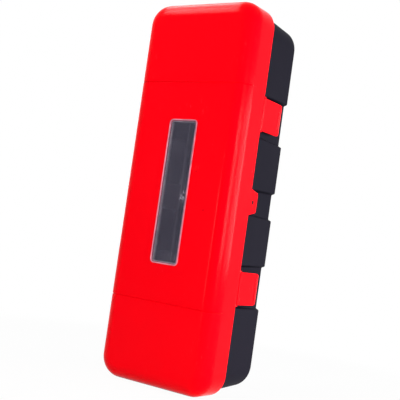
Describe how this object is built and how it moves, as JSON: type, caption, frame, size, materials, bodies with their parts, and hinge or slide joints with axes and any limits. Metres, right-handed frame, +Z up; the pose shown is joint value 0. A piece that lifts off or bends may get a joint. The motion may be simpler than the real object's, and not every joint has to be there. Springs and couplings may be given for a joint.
{
  "type": "fire extinguisher cabinet",
  "caption": "Tall narrow moulded cabinet for one portable fire extinguisher: black wall tray, red hinged lid with a slim clear window and swinging side latches.",
  "frame": {"origin": "centre of the flat back of the tray, which is fixed to a wall or vehicle side", "axes": "+X to the right seen from the front, +Y from the front towards the wall, +Z up"},
  "size_m": [0.2485, 0.1664, 0.7],
  "materials": {
    "lid_plastic": "satin moulded red",
    "tray_plastic": "fine textured black",
    "window_clear": "clear moulded pane",
    "pin_steel": "plain drawn wire",
    "seal_rubber": "foam strip"
  },
  "bodies": {
    "tray": {"tray_back": "tray_plastic", "tray_top": "tray_plastic", "tray_bottom": "tray_plastic", "tray_corners": "tray_plastic", "side_left_lower": "tray_plastic", "side_left_upper": "tray_plastic", "side_right_lower": "tray_plastic", "side_right_upper": "tray_plastic", "recess_left_lower": "tray_plastic", "recess_left_middle": "tray_plastic", "recess_left_upper": "tray_plastic", "recess_right_lower": "tray_plastic", "recess_right_middle": "tray_plastic", "recess_right_upper": "tray_plastic", "block_left_lower": "tray_plastic", "block_left_upper": "tray_plastic", "block_right_lower": "tray_plastic", "block_right_upper": "tray_plastic"},
    "lid": {"lid": "lid_plastic", "lid_seal": "seal_rubber", "window": "window_clear", "latch_pin_upper": "pin_steel", "latch_pin_lower": "pin_steel", "hinge_pin_upper": "pin_steel", "hinge_pin_lower": "pin_steel"},
    "latch_upper": {"latch_upper": "lid_plastic"},
    "latch_lower": {"latch_lower": "lid_plastic"}
  },
  "joints": [
    {"name": "lid_hinge", "type": "hinge", "parent": "tray", "child": "lid", "pos_m": [-0.123, -0.092, 0], "axis": [0, 0, -1], "range_deg": [0, 180]},
    {"name": "latch_upper_hinge", "type": "hinge", "parent": "lid", "child": "latch_upper", "pos_m": [0.1155, -0.093, 0.1585], "axis": [0, 0, -1], "range_deg": [0, 90]},
    {"name": "latch_lower_hinge", "type": "hinge", "parent": "lid", "child": "latch_lower", "pos_m": [0.1155, -0.093, -0.1545], "axis": [0, 0, -1], "range_deg": [0, 90]}
  ]
}
